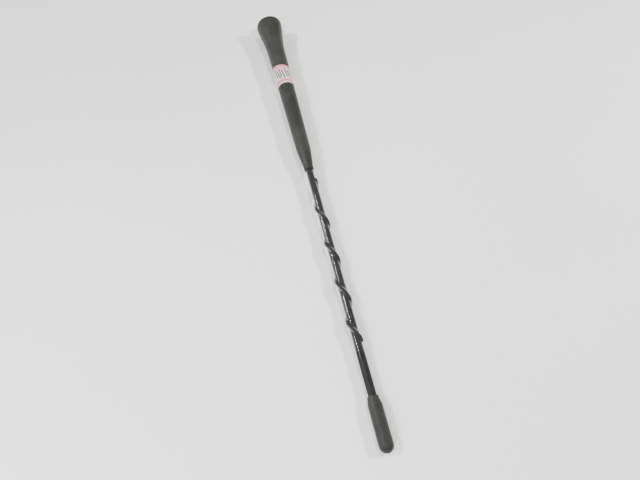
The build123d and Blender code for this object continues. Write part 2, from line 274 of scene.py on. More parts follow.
def finished(name, bm, sharp=35):
    """The object of a finished mesh, shaded smooth but for its sharp edges."""
    mesh = bpy.data.meshes.new(name)
    bm.to_mesh(mesh)
    bm.free()
    mesh.shade_smooth()
    mesh.set_sharp_from_angle(angle=radians(sharp))
    made = bpy.data.objects.new(name, mesh)
    bpy.context.scene.collection.objects.link(made)
    return made


def spun(name, outline, steps, closed=True, reshape=None):
    """A round piece: an outline of places and radii, turned about the mast's axis.

    reshape takes each corner's place, radius and angle as arrays, and gives its new radius.
    """
    bm = bmesh.new()
    corners = [bm.verts.new((x, radius, 0)) for x, radius in outline]
    pairs = list(zip(corners, corners[1:]))
    if closed:
        pairs.append((corners[-1], corners[0]))
    edges = [bm.edges.new(pair) for pair in pairs]
    whole = corners + edges
    bmesh.ops.spin(
        bm, geom=whole, cent=(0, 0, 0), axis=(1, 0, 0), angle=2 * pi, steps=steps, use_merge=True
    )
    bmesh.ops.remove_doubles(bm, verts=bm.verts, dist=0.0005 * MM)
    bmesh.ops.recalc_face_normals(bm, faces=bm.faces)
    if reshape:
        move_out(bm, reshape)
    return finished(name, bm)


def move_out(bm, reshape):
    """Gives each corner of a round mesh the radius that reshape works out."""
    places = np.array([v.co for v in bm.verts])
    radius = np.hypot(places[:, 1], places[:, 2])
    angle = np.arctan2(places[:, 2], places[:, 1])
    wanted = reshape(places[:, 0], radius, angle)
    for vertex, old, new, a in zip(bm.verts, radius, wanted, angle):
        if old > 0:
            vertex.co.y, vertex.co.z = new * cos(a), new * sin(a)


def coil(name, start, turns, radius, wire, pitch, wire_faces=8, steps_per_turn=24):
    """A wire wound round the mast's axis, with flat closed ends."""
    bm = bmesh.new()
    section = bmesh.ops.create_circle(bm, cap_ends=False, segments=wire_faces, radius=wire)["verts"]
    bmesh.ops.translate(bm, verts=section, vec=(start, radius, 0))
    section_edges = list({edge for vertex in section for edge in vertex.link_edges})
    bmesh.ops.spin(
        bm,
        geom=section + section_edges,
        cent=(0, 0, 0),
        axis=(1, 0, 0),
        dvec=(pitch / steps_per_turn, 0, 0),
        angle=2 * pi * turns,
        steps=round(turns * steps_per_turn),
        use_merge=False,
    )
    bmesh.ops.holes_fill(bm, edges=bm.edges, sides=wire_faces)
    bmesh.ops.recalc_face_normals(bm, faces=bm.faces)
    return finished(name, bm)


# ---- Shader parts ----


def place(tree, kind, inputs=None, **settings):
    """Adds a node. inputs are values, or sockets of other nodes, by socket name or number."""
    made = tree.nodes.new(kind)
    for key, value in settings.items():
        setattr(made, key, value)
    for socket, value in (inputs or {}).items():
        if isinstance(value, bpy.types.NodeSocket):
            tree.links.new(value, made.inputs[socket])
        else:
            made.inputs[socket].default_value = value
    return made


def calc(tree, operation, first, second=0.0, clamp=False):
    """The result of a Math node."""
    made = place(tree, "ShaderNodeMath", {0: first, 1: second}, operation=operation, use_clamp=clamp)
    return made.outputs[0]


def ramped(tree, value, low, high, to_low=0.0, to_high=1.0):
    """A value's range, stretched smoothly to another."""
    made = place(
        tree,
        "ShaderNodeMapRange",
        {"Value": value, "From Min": low, "From Max": high, "To Min": to_low, "To Max": to_high},
        interpolation_type="SMOOTHSTEP",
    )
    return made.outputs[0]


def blended(tree, amount, first, second):
    """A mix of two colours."""
    made = place(tree, "ShaderNodeMix", {0: amount, 6: first, 7: second}, data_type="RGBA")
    return made.outputs[2]


def noise(tree, where, scale, detail, roughness=0.5):
    """Noise in the object's own space."""
    inputs = {"Vector": where, "Scale": scale, "Detail": detail, "Roughness": roughness}
    return place(tree, "ShaderNodeTexNoise", inputs).outputs[0]


def shader_group(name, inputs, outputs):
    """A node group with named sockets. Returns it with its input and output nodes."""
    group = bpy.data.node_groups.new(name, "ShaderNodeTree")
    kinds = {"value": "NodeSocketFloat", "colour": "NodeSocketColor", "vector": "NodeSocketVector"}
    for socket, kind in inputs:
        group.interface.new_socket(name=socket, in_out="INPUT", socket_type=kinds[kind])
    for socket, kind in outputs:
        group.interface.new_socket(name=socket, in_out="OUTPUT", socket_type=kinds[kind])
    return group, group.nodes.new("NodeGroupInput"), group.nodes.new("NodeGroupOutput")


def worn_surface_group():
    """Blotches, pale specks and a fine grain, for moulded and drawn surfaces."""
    name = "Worn surface"
    if name in bpy.data.node_groups:
        return bpy.data.node_groups[name]
    group, given, result = shader_group(
        name,
        [
            ("Colour", "colour"),
            ("Bloom", "colour"),
            ("Bloom amount", "value"),
            ("Bloom scale", "value"),
            ("Speck amount", "value"),
            ("Grain scale", "value"),
            ("Roughness", "value"),
            ("Roughness spread", "value"),
        ],
        [("Colour", "colour"), ("Roughness", "value"), ("Height", "value")],
    )
    where = place(group, "ShaderNodeTexCoord").outputs["Object"]
    blotch = noise(group, where, given.outputs["Bloom scale"], 5.0, 0.6)
    grain = noise(group, where, given.outputs["Grain scale"], 3.0, 0.65)
    speck_scale = calc(group, "MULTIPLY", given.outputs["Grain scale"], 0.45)
    speck = noise(group, where, speck_scale, 1.0)
    cover = ramped(group, blotch, 0.34, 0.68)
    cover = calc(group, "MULTIPLY", cover, given.outputs["Bloom amount"])
    grain_cover = calc(group, "MULTIPLY", ramped(group, grain, 0.3, 0.7), 0.18)
    cover = calc(group, "ADD", cover, grain_cover, clamp=True)
    specks = calc(group, "MULTIPLY", ramped(group, speck, 0.66, 0.74), given.outputs["Speck amount"])
    toned = blended(group, cover, given.outputs["Colour"], given.outputs["Bloom"])
    brighter = blended(group, 0.55, given.outputs["Bloom"], (0.6, 0.59, 0.56, 1))
    coloured = blended(group, specks, toned, brighter)
    change = calc(group, "SUBTRACT", blotch, 0.5)
    change = calc(group, "MULTIPLY", change, given.outputs["Roughness spread"])
    rough = calc(group, "ADD", given.outputs["Roughness"], change, clamp=True)
    group.links.new(coloured, result.inputs["Colour"])
    group.links.new(rough, result.inputs["Roughness"])
    group.links.new(grain, result.inputs["Height"])
    return group


def turned_metal_group():
    """Fine rings round the mast's axis, as a lathe or a die leaves them."""
    name = "Turned metal"
    if name in bpy.data.node_groups:
        return bpy.data.node_groups[name]
    group, given, result = shader_group(
        name,
        [("Colour", "colour"), ("Tarnish", "colour"), ("Ring scale", "value"), ("Roughness", "value")],
        [("Colour", "colour"), ("Roughness", "value"), ("Height", "value")],
    )
    where = place(group, "ShaderNodeTexCoord").outputs["Object"]
    along = place(group, "ShaderNodeSeparateXYZ", {0: where}).outputs[0]
    ring_place = calc(group, "MULTIPLY", along, given.outputs["Ring scale"])
    rings = place(
        group,
        "ShaderNodeTexNoise",
        {"W": ring_place, "Scale": 1.0, "Detail": 3.0},
        noise_dimensions="1D",
    ).outputs[0]
    blotch = noise(group, where, 260.0, 4.0)
    tarnish = calc(group, "MULTIPLY", ramped(group, blotch, 0.45, 0.75), 0.6)
    coloured = blended(group, tarnish, given.outputs["Colour"], given.outputs["Tarnish"])
    change = calc(group, "MULTIPLY", calc(group, "SUBTRACT", rings, 0.5), 0.25)
    rough = calc(group, "ADD", given.outputs["Roughness"], change)
    rough = calc(group, "ADD", rough, calc(group, "MULTIPLY", tarnish, 0.2), clamp=True)
    group.links.new(coloured, result.inputs["Colour"])
    group.links.new(rough, result.inputs["Roughness"])
    group.links.new(rings, result.inputs["Height"])
    return group


def pen_stroke_group():
    """A mask that is 1 on a pen stroke from one point to another, with soft edges."""
    name = "Pen stroke"
    if name in bpy.data.node_groups:
        return bpy.data.node_groups[name]
    group, given, result = shader_group(
        name,
        [("Place", "vector"), ("From", "vector"), ("To", "vector"), ("Half width", "value")],
        [("Mask", "value")],
    )

    def vector(operation, first, second):
        return place(group, "ShaderNodeVectorMath", {0: first, 1: second}, operation=operation)

    run = vector("SUBTRACT", given.outputs["To"], given.outputs["From"]).outputs["Vector"]
    here = vector("SUBTRACT", given.outputs["Place"], given.outputs["From"]).outputs["Vector"]
    ahead = vector("DOT_PRODUCT", here, run).outputs["Value"]
    whole = vector("DOT_PRODUCT", run, run).outputs["Value"]
    along = calc(group, "DIVIDE", ahead, whole, clamp=True)
    reached = place(group, "ShaderNodeVectorMath", {0: run, "Scale": along}, operation="SCALE")
    away = vector("DISTANCE", here, reached.outputs["Vector"]).outputs["Value"]
    soft = calc(group, "MULTIPLY", given.outputs["Half width"], 1.6)
    mask = place(
        group,
        "ShaderNodeMapRange",
        {
            "Value": away,
            "From Min": given.outputs["Half width"],
            "From Max": soft,
            "To Min": 1.0,
            "To Max": 0.0,
        },
    ).outputs[0]
    group.links.new(mask, result.inputs["Mask"])
    return group


def opaque(rgb):
    """A colour with its alpha."""
    return (*rgb, 1.0)


def new_material(name):
    """An empty node material with its Principled shader."""
    material = bpy.data.materials.new(name)
    material.use_nodes = True
    return material, material.node_tree, material.node_tree.nodes["Principled BSDF"]


def surfaced(name, group, values, bump_distance, bump_strength=0.5, **shader):
    """A material whose colour, roughness and relief come from a shader group."""
    material, tree, bsdf = new_material(name)
    surface = tree.nodes.new("ShaderNodeGroup")
    surface.node_tree = group
    for socket, value in values.items():
        surface.inputs[socket].default_value = value
    bump = place(
        tree,
        "ShaderNodeBump",
        {"Height": surface.outputs["Height"], "Distance": bump_distance, "Strength": bump_strength},
    )
    tree.links.new(surface.outputs["Colour"], bsdf.inputs["Base Color"])
    tree.links.new(surface.outputs["Roughness"], bsdf.inputs["Roughness"])
    tree.links.new(bump.outputs["Normal"], bsdf.inputs["Normal"])
    for socket, value in shader.items():
        bsdf.inputs[socket.replace("_", " ")].default_value = value
    return material


def worn(name, base, bloom, amount, scale, specks, grain, rough, spread, depth, **shader):
    """A moulded or drawn surface with bloom, specks and grain.

    amount and scale are the bloom's, grain is a scale, spread is how much the roughness varies, and
    depth is the height of the grain.
    """
    values = {
        "Colour": opaque(base),
        "Bloom": opaque(bloom),
        "Bloom amount": amount,
        "Bloom scale": scale,
        "Speck amount": specks,
        "Grain scale": grain,
        "Roughness": rough,
        "Roughness spread": spread,
    }
    return surfaced(name, worn_surface_group(), values, depth, **shader)


# Each metal: its colour, its tarnish, the scale of its fine rings and its roughness.
METALS = {
    "brass": ((0.72, 0.52, 0.24), (0.32, 0.20, 0.09), 5200, 0.28),
    "braid_copper": ((0.72, 0.42, 0.28), (0.36, 0.20, 0.13), 9000, 0.36),
    "spring_steel": ((0.48, 0.48, 0.50), (0.20, 0.19, 0.18), 7000, 0.3),
    "zinc_steel": ((0.66, 0.67, 0.68), (0.42, 0.41, 0.36), 6000, 0.26),
}


def turned(name):
    """A turned or drawn metal."""
    base, tarnish, rings, rough = METALS[name]
    values = {
        "Colour": opaque(base),
        "Tarnish": opaque(tarnish),
        "Ring scale": rings,
        "Roughness": rough,
    }
    return surfaced(name, turned_metal_group(), values, 0.01 * MM, bump_strength=0.3, Metallic=1.0)


def boot_rubber(boot):
    """Matt moulded rubber with an uneven pale bloom."""
    look = dict(amount=boot.dust_amount, scale=85, specks=0.04, grain=2600, rough=0.5, spread=0.2)
    return worn("boot_rubber", boot.colour, boot.dust, **look, depth=0.02 * MM, Specular_IOR_Level=0.26)


def cap_rubber(cap):
    """Slightly smoother and paler rubber than the boot's."""
    look = dict(amount=0.5, scale=120, specks=0.04, grain=2400, rough=0.46, spread=0.15)
    return worn("cap_rubber", cap.colour, cap.dust, **look, depth=0.012 * MM, Specular_IOR_Level=0.22)


def sleeve_gloss(sleeve):
    """Dull tube under a clear gloss, with faint smears. The gloss is gone beyond the spiral."""
    look = dict(amount=0.35, scale=240, specks=0.06, grain=1500, rough=0.45, spread=0.15)
    coat = dict(Specular_IOR_Level=0.08, Coat_Roughness=0.1, Coat_IOR=1.7)
    smear = (0.024, 0.024, 0.023)
    material = worn("sleeve_gloss", sleeve.colour, smear, **look, depth=0.003 * MM, **coat)
    tree = material.node_tree
    where = place(tree, "ShaderNodeTexCoord").outputs["Object"]
    along = place(tree, "ShaderNodeSeparateXYZ", {0: where}).outputs[0]
    gloss = ramped(tree, along, SPIRAL_END, SPIRAL_END + 8 * MM, 1.0, 0.1)
    tree.links.new(gloss, tree.nodes["Principled BSDF"].inputs["Coat Weight"])
    return material


def cord_plastic(sleeve):
    """Plain drawn plastic of the cord."""
    look = dict(amount=0.4, scale=300, specks=0.1, grain=2000, rough=0.45, spread=0.1)
    return worn("cord_plastic", sleeve.cord_colour, (0.07, 0.07, 0.07), **look, depth=0.01 * MM)


def label_paper(label):
    """Coated paper with printed bands and a few pen strokes that spell nothing."""
    material, tree, bsdf = new_material("label_paper")
    uv = place(tree, "ShaderNodeUVMap", uv_map="label").outputs["UV"]
    parts = place(tree, "ShaderNodeSeparateXYZ", {0: uv})
    across, up = parts.outputs[0], parts.outputs[1]
    where = place(tree, "ShaderNodeTexCoord").outputs["Object"]
    fibre = noise(tree, where, 1800.0, 4.0, 0.7)
    wobble = calc(tree, "MULTIPLY", calc(tree, "SUBTRACT", fibre, 0.5), 0.035)
    height = calc(tree, "ADD", up, wobble)
    shade = ramped(tree, fibre, 0.3, 0.75, 0.0, 0.22)
    paper = blended(tree, shade, opaque(label.paper), (0.44, 0.41, 0.38, 1))

    def band(low, high, soft):
        rise = ramped(tree, height, low - soft, low + soft)
        fall = ramped(tree, height, high - soft, high + soft, 1.0, 0.0)
        return calc(tree, "MULTIPLY", rise, fall)

    lower = calc(tree, "MULTIPLY", band(-0.1, 0.19, 0.03), 0.72)
    upper = calc(tree, "MULTIPLY", band(0.80, 0.92, 0.02), 0.95)
    printed = blended(tree, calc(tree, "ADD", lower, upper, clamp=True), paper, opaque(label.border))
    edge = calc(tree, "MULTIPLY", band(-0.1, 0.03, 0.015), 0.8)
    printed = blended(tree, edge, printed, opaque(label.edge_ink))

    # Pen strokes, in millimetres round and along the label from its middle front.
    sweep = 2 * pi + label.overlap
    round_mm = sweep * (radius_of("paper_label") / MM)
    front = (FRONT_ANGLE - label.seam_angle + label.overlap / 2) / sweep
    tall_mm = (label.upper_edge - label.lower_edge) / MM
    pen_x = calc(tree, "MULTIPLY", calc(tree, "SUBTRACT", across, front), round_mm)
    pen_y = calc(tree, "MULTIPLY", up, tall_mm)
    point = place(tree, "ShaderNodeCombineXYZ", {0: pen_x, 1: pen_y, 2: 0.0}).outputs[0]
    ink = None
    for stroke_from, stroke_to in PEN_STROKES:
        stroke = tree.nodes.new("ShaderNodeGroup")
        stroke.node_tree = pen_stroke_group()
        tree.links.new(point, stroke.inputs["Place"])
        stroke.inputs["From"].default_value = (*stroke_from, 0)
        stroke.inputs["To"].default_value = (*stroke_to, 0)
        stroke.inputs["Half width"].default_value = PEN_HALF_WIDTH
        mask = stroke.outputs["Mask"]
        ink = mask if ink is None else calc(tree, "MAXIMUM", ink, mask)
    ink = calc(tree, "MULTIPLY", ink, ramped(tree, fibre, 0.2, 0.6, 0.75, 0.97))
    inked = blended(tree, ink, printed, opaque(label.pen))
    bump = place(tree, "ShaderNodeBump", {"Height": fibre, "Distance": 0.02 * MM, "Strength": 0.4})
    rough = ramped(tree, fibre, 0.2, 0.8, 0.5, 0.66)
    tree.links.new(inked, bsdf.inputs["Base Color"])
    tree.links.new(rough, bsdf.inputs["Roughness"])
    tree.links.new(bump.outputs["Normal"], bsdf.inputs["Normal"])
    return material


# Each stroke runs from one point to another, in millimetres. Together they spell nothing.
PEN_HALF_WIDTH = 0.33
PEN_STROKES = (
    ((4.9, 3.8), (4.1, 9.8)),
    ((3.2, 4.6), (2.0, 11.4)),
    ((1.5, 3.6), (0.9, 10.4)),
    ((-0.1, 4.8), (-1.1, 11.8)),
    ((-2.2, 3.9), (-2.9, 10.6)),
    ((-3.9, 5.2), (-4.5, 11.2)),
    ((-5.6, 4.6), (-6.3, 9.9)),
)


def enamelled_copper(name):
    """Copper wire under a clear amber enamel."""
    look = dict(amount=0.6, scale=700, specks=0.0, grain=3600, rough=0.22, spread=0.15)
    enamel = dict(depth=0.006 * MM, Metallic=1.0, Coat_Weight=0.6)
    return worn(name, (0.66, 0.24, 0.10), (0.38, 0.12, 0.06), **look, **enamel)


def inner_finishes():
    """The finishes of the parts that keep their CAD shape, by node."""
    brass = turned("brass")
    rubber = dict(amount=0.3, scale=500, specks=0.1, grain=3000, rough=0.38, spread=0.15)
    glass = dict(amount=0.6, scale=400, specks=0.1, grain=4200, rough=0.35, spread=0.2)
    solder = dict(amount=0.6, scale=900, specks=0.0, grain=2600, rough=0.34, spread=0.3, Metallic=1.0)
    band = dict(amount=0.4, scale=400, specks=0.1, grain=2200, rough=0.3, spread=0.15)
    looks = {
        "seal_ring": ("seal_rubber", (0.02, 0.02, 0.02), (0.06, 0.06, 0.06), rubber, 0.01),
        "core_rod": ("fibreglass", (0.70, 0.66, 0.48), (0.86, 0.84, 0.70), glass, 0.015),
        "solder_joint": ("solder", (0.62, 0.62, 0.60), (0.40, 0.40, 0.39), solder, 0.02),
        "winding_end_band": ("band_plastic", (0.06, 0.06, 0.06), (0.12, 0.12, 0.12), band, 0.01),
    }
    finishes = {
        node: worn(name, base, bloom, **look, depth=depth_mm * MM)
        for node, (name, base, bloom, look, depth_mm) in looks.items()
    }
    return finishes | {
        "base_ferrule": brass,
        "rod_ferrule": brass,
        "loading_coil": enamelled_copper("coil_copper"),
        "radiator_winding": enamelled_copper("winding_copper"),
    }


def bend_below(made):
    """Bakes the placement of a piece that lies below the split into its mesh."""
    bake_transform(made)


def bend_above(made):
    """Bakes the placement of a piece that lies above the split into its mesh."""
    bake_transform(made)


def dress(made, material, slot, *nodes):
    """Gives a piece its material and hides the frame's nodes that it stands for. The slot is not used.
    """
    made.data.materials.append(material)
    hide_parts(*nodes)
    return made


# ---- The boot and its label ----


def boot_radius(x):
    """Outside radius of the boot from its rim to its lip."""
    boot = bpy.context.scene.mast_boot
    shoulder = BOOT_END - boot.shoulder_length
    taper = (boot.neck_radius - boot.shoulder_radius) / (shoulder - boot.flare_length)
    knots = [
        (boot.rim_land, RIM_RADIUS, RIM_SLOPE),
        (boot.bend_place, boot.bend_radius, BEND_SLOPE),
        (boot.flare_length, boot.neck_radius, -taper),
        (shoulder, boot.shoulder_radius, -taper),
        (BOOT_END - boot.lip_length, ROD_RADIUS + boot.lip_wall, LIP_SLOPE),
    ]
    return curve_through(knots, x)


def boot_wall(low, high, step):
    """The boot's outside outline from low to high."""
    return [(x, float(boot_radius(x))) for x in stations(low, high, step)]


def cavity_steps():
    """Where each stretch of the boot's cavity ends, and its radius."""
    return [
        (start_of("flex_spring") - END_GAP, radius_of("base_ferrule") + SNUG),
        (end_of("flex_spring") + END_GAP, radius_of("flex_spring") + CLEAR),
        (start_of("loading_coil") - END_GAP, radius_of("rod_ferrule") + CLEAR),
        (start_of("outer_sleeve") - END_GAP, radius_of("loading_coil") + CLEAR),
        (BOOT_END, ROD_RADIUS + SNUG),
    ]


def cavity_wall(low, high, step):
    """The cavity's outline from low to high."""
    wall, here = [], low
    for stop, radius in cavity_steps():
        stop = min(stop, high)
        if stop <= here:
            continue
        wall += [(x, radius) for x in stations(here, stop, step)]
        here = stop
    return wall


class MAST_OT_add_boot(bpy.types.Operator):
    """Adds the rubber boot, in two lengths that meet under the label"""

    bl_idname = "mast.add_boot"
    bl_label = "Add Boot"

    def execute(self, context):
        boot = context.scene.mast_boot
        step = 0.7 * MM
        steps_round = 96
        rubber = boot_rubber(boot)
        lip_radius = ROD_RADIUS + boot.lip_wall

        rim = [(0, 0.5 * (RIM_RADIUS + radius_of("base_ferrule")))]
        rim += corner(boot.rim_round, RIM_RADIUS - boot.rim_round, boot.rim_round, 180)
        lower = rim + boot_wall(boot.rim_land, BOOT_SPLIT, step)
        lower += cavity_wall(0, BOOT_SPLIT, step)[::-1]
        made = spun("boot_lower", lower, steps_round)
        bend_below(made)
        dress(made, rubber, "rubber", "boot")

        upper = boot_wall(BOOT_SPLIT, BOOT_END - boot.lip_length, step)
        upper += corner(BOOT_END - boot.lip_round, lip_radius - boot.lip_round, boot.lip_round, 90)
        upper += cavity_wall(BOOT_SPLIT, BOOT_END, step)[::-1]
        made = spun("boot_upper", upper, steps_round)
        bend_above(made)
        dress(made, rubber, "rubber", "boot")
        return {"FINISHED"}


class MAST_OT_add_label(bpy.types.Operator):
    """Adds the paper label, rolled round the boot's neck with its ends overlapping"""

    bl_idname = "mast.add_label"
    bl_label = "Add Label"

    def execute(self, context):
        label = context.scene.mast_label
        bm = bmesh.new()
        sheet = Matrix.Translation((0.5, 0.5, 0))
        bmesh.ops.create_grid(bm, x_segments=20, y_segments=150, size=0.5, matrix=sheet)
        bmesh.ops.recalc_face_normals(bm, faces=bm.faces)
        bmesh.ops.solidify(bm, geom=bm.faces, thickness=-label.thickness)
        if min(v.co.z for v in bm.verts) < -0.5 * label.thickness:
            bmesh.ops.translate(bm, verts=bm.verts, vec=(0, 0, label.thickness))
        layer = bm.loops.layers.uv.new("label")
        for face in bm.faces:
            for loop in face.loops:
                loop[layer].uv = (loop.vert.co.y, loop.vert.co.x)
        self.roll(bm, label)
        bmesh.ops.recalc_face_normals(bm, faces=bm.faces)
        if bm.calc_volume(signed=True) < 0:
            bmesh.ops.reverse_faces(bm, faces=bm.faces)
        made = finished("price_label", bm)
        bend_above(made)
        dress(made, label_paper(label), "paper", "paper_label")
        return {"FINISHED"}

    def roll(self, bm, label):
        """Rolls the flat label round the boot. Its last stretch rides up over its first."""
        sweep = 2 * pi + label.overlap
        first = label.seam_angle - label.overlap / 2
        for vertex in bm.verts:
            angle = first + vertex.co.y * sweep
            lean = label.skew_across * cos(angle - SIDE_ANGLE)
            lean += label.skew_front * sin(angle - SIDE_ANGLE)
            x = label.lower_edge + lean + vertex.co.x * (label.upper_edge - label.lower_edge - lean)
            lift = smooth_step(vertex.co.y, 0.93, 1 - 1.2 * label.overlap / sweep)
            radius = boot_radius(x) + label.gap + vertex.co.z + 1.25 * label.thickness * lift
            vertex.co = (x, radius * cos(angle), radius * sin(angle))


# ---- The rod, its spiral and its cap ----

def spiral_turns(x):
    """How many turns the spiral has made at a place along the mast."""
    places = [(place_mm * MM, turns) for place_mm, turns in SPIRAL_PLACES]
    runs = [(b[1] - a[1]) / (b[0] - a[0]) for a, b in zip(places, places[1:])]
    slopes = [runs[0]] + [2 * a * b / (a + b) for a, b in zip(runs, runs[1:])] + [runs[-1]]
    return curve_through([(x0, turns, slope) for (x0, turns), slope in zip(places, slopes)], x)


def spiral_route(radius, step):
    """Points along the left-handed spiral at a radius."""
    x = stations(SPIRAL_START, SPIRAL_END, step)
    angle = bpy.context.scene.mast_sleeve.start_angle - 2 * pi * spiral_turns(x)
    return np.column_stack([x, radius * np.cos(angle), radius * np.sin(angle)])


def ridge_lift(x, angle):
    """How far the cord lifts the sleeve at each place and angle."""
    sleeve = bpy.context.scene.mast_sleeve
    route = spiral_route(ROD_RADIUS, 0.02 * MM)
    tree = KDTree(len(route))
    for number, point in enumerate(route):
        tree.insert(point, number)
    tree.balance()
    spots = np.column_stack([x, ROD_RADIUS * np.cos(angle), ROD_RADIUS * np.sin(angle)])
    near = np.zeros(len(x))
    reach = (x > route[0][0] - 3 * MM) & (x < route[-1][0] + 3 * MM)
    for number in np.flatnonzero(reach):
        away = tree.find(spots[number])[2]
        near[number] = max(0.0, 1 - (away / sleeve.ridge_half_width) ** 2) ** 1.6
    return sleeve.ridge_height * near


def rib_lift(x, angle):
    """How far each turn of the wire lifts the sleeve. The turns are a right-handed helix."""
    sleeve = bpy.context.scene.mast_sleeve
    wire_start = start_of("radiator_winding")
    phase = 2 * pi * (x - wire_start) / sleeve.rib_pitch - (angle - pi / 2)
    crest = (0.5 + 0.5 * np.cos(phase)) ** 2
    begins = BOOT_END + sleeve.rib_start
    shown = smooth_step(x, begins - 1 * MM, begins + 1 * MM)
    shown *= 1 - 0.55 * smooth_step(x, SPIRAL_END, SPIRAL_END + 6 * MM)
    band = start_of("winding_end_band")
    shown *= 1 - smooth_step(x, band - 1 * MM, band)
    uneven = 1 + 0.12 * np.sin(x / (3.7 * MM)) + 0.08 * np.sin(x / (1.3 * MM) + 2 * angle)
    return sleeve.rib_height * crest * shown * uneven


class MAST_OT_add_sleeve(bpy.types.Operator):
    """Adds the shrunk sleeve, ribbed by the wire and lifted by the spiral cord"""

    bl_idname = "mast.add_sleeve"
    bl_label = "Add Sleeve"

    def execute(self, context):
        sleeve = context.scene.mast_sleeve
        along = stations(start_of("outer_sleeve"), end_of("outer_sleeve"), sleeve.step_length)
        outline = [(x, ROD_RADIUS) for x in along]
        outline += [(x, ROD_RADIUS - SLEEVE_WALL) for x in along[::-1]]

        def reshape(x, radius, angle):
            outside = radius > ROD_RADIUS - SLEEVE_WALL / 2
            return radius + ridge_lift(x, angle) + np.where(outside, rib_lift(x, angle), 0)

        made = spun("ribbed_sleeve", outline, sleeve.steps_round, reshape=reshape)
        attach(made, "mast")
        dress(made, sleeve_gloss(sleeve), "sleeve_gloss", "outer_sleeve")
        return {"FINISHED"}


class MAST_OT_add_cord(bpy.types.Operator):
    """Adds the anti-whistle cord that the sleeve is shrunk over"""

    bl_idname = "mast.add_cord"
    bl_label = "Add Anti-whistle Cord"

    def execute(self, context):
        sleeve = context.scene.mast_sleeve
        route = spiral_route(ROD_RADIUS - SLEEVE_WALL + sleeve.cord_radius, 0.5 * MM)
        bm = bmesh.new()
        rings = []
        for number, point in enumerate(route):
            ahead = route[min(number + 1, len(route) - 1)] - route[max(number - 1, 0)]
            facing = Vector(ahead).to_track_quat("Z", "Y").to_matrix().to_4x4()
            ring = bmesh.ops.create_circle(
                bm, segments=10, radius=sleeve.cord_radius, matrix=Matrix.Translation(point) @ facing
            )["verts"]
            rings.append(list({edge for vertex in ring for edge in vertex.link_edges}))
        for near, far in zip(rings, rings[1:]):
            bmesh.ops.bridge_loops(bm, edges=near + far)
        bmesh.ops.holes_fill(bm, edges=bm.edges, sides=10)
        bmesh.ops.recalc_face_normals(bm, faces=bm.faces)
        made = finished("spiral_cord", bm)
        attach(made, "mast")
        dress(made, cord_plastic(sleeve), "cord_plastic", "anti_whistle_cord")
        return {"FINISHED"}


class MAST_OT_add_tip_cap(bpy.types.Operator):
    """Adds the rounded rubber cap at the tip"""

    bl_idname = "mast.add_tip_cap"
    bl_label = "Add Tip Cap"

    def execute(self, context):
        cap = context.scene.mast_cap
        step = 0.6 * MM
        start = start_of("tip_cap")
        lip_radius = ROD_RADIUS + cap.lip_wall
        full = start + cap.shoulder_length
        dome = MAST_END - CAP_RADIUS
        knots = [(start + cap.lip_length, lip_radius, -LIP_SLOPE), (full, CAP_RADIUS, 0)]
        rod_end, core_end = end_of("outer_sleeve") + END_GAP, end_of("core_rod") + END_GAP
        core_radius = radius_of("core_rod") + SNUG
        bore_radius = ROD_RADIUS + SNUG
        outline = [(core_end, 0), (core_end, core_radius), (rod_end, core_radius)]
        outline += [(rod_end, bore_radius), (start, bore_radius)]
        outline += corner(start + cap.lip_round, lip_radius - cap.lip_round, cap.lip_round, 180)
        shoulder = stations(start + cap.lip_length, full, step)
        outline += [(x, float(curve_through(knots, x))) for x in shoulder]
        outline += [(x, CAP_RADIUS) for x in stations(full, dome, 2 * MM)[1:]]
        outline += corner(dome, 0, CAP_RADIUS, 90, points=15)[1:-1] + [(MAST_END, 0)]
        made = spun("rounded_cap", outline, 72, closed=False)
        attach(made, "mast")
        dress(made, cap_rubber(cap), "cap_rubber", "tip_cap")
        return {"FINISHED"}


# ---- The stud, the spring and the braid ----


class MAST_OT_add_stud(bpy.types.Operator):
    """Adds the threaded fixing stud with its hexagon socket"""

    bl_idname = "mast.add_stud"
    bl_label = "Add Fixing Stud"

    def execute(self, context):
        stud = context.scene.mast_stud
        outside = radius_of("fixing_stud")
        outer_end, inner_end = start_of("fixing_stud"), end_of("fixing_stud")
        flat = stud.socket_flats / 2
        floor = outer_end + stud.socket_depth
        step = 0.05 * MM
        outline = [(floor, 0), (floor, flat), (outer_end, flat), (outer_end, outside - stud.chamfer)]
        outline += [(x, outside) for x in stations(outer_end + stud.chamfer, 0, step)]
        outline += [(0, stud.neck_radius), (stud.neck_length, stud.neck_radius)]
        outline += [(x, outside) for x in stations(stud.neck_length, inner_end - stud.chamfer, step)]
        outline += [(inner_end, outside - stud.chamfer), (inner_end, 0)]

        def reshape(x, radius, angle):
            phase = np.mod(x / stud.thread_pitch - angle / (2 * pi), 1)
            groove = np.clip((np.abs(2 * phase - 1) - 0.12) / 0.7, 0, 1)
            fade = smooth_step(x, outer_end, outer_end + stud.chamfer)
            fade *= 1 - smooth_step(x, inner_end - stud.chamfer, inner_end)
            threaded = radius > outside - 0.01 * MM
            side = np.mod(angle, pi / 3) - pi / 6
            in_socket = np.isclose(radius, flat, atol=0.01 * MM)
            deep = radius - stud.thread_depth * groove * fade
            return np.where(threaded, deep, np.where(in_socket, radius / np.cos(side), radius))

        made = spun("threaded_stud", outline, 48, closed=False, reshape=reshape)
        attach(made, "stud")
        dress(made, turned("zinc_steel"), "zinc_steel", "fixing_stud")
        return {"FINISHED"}


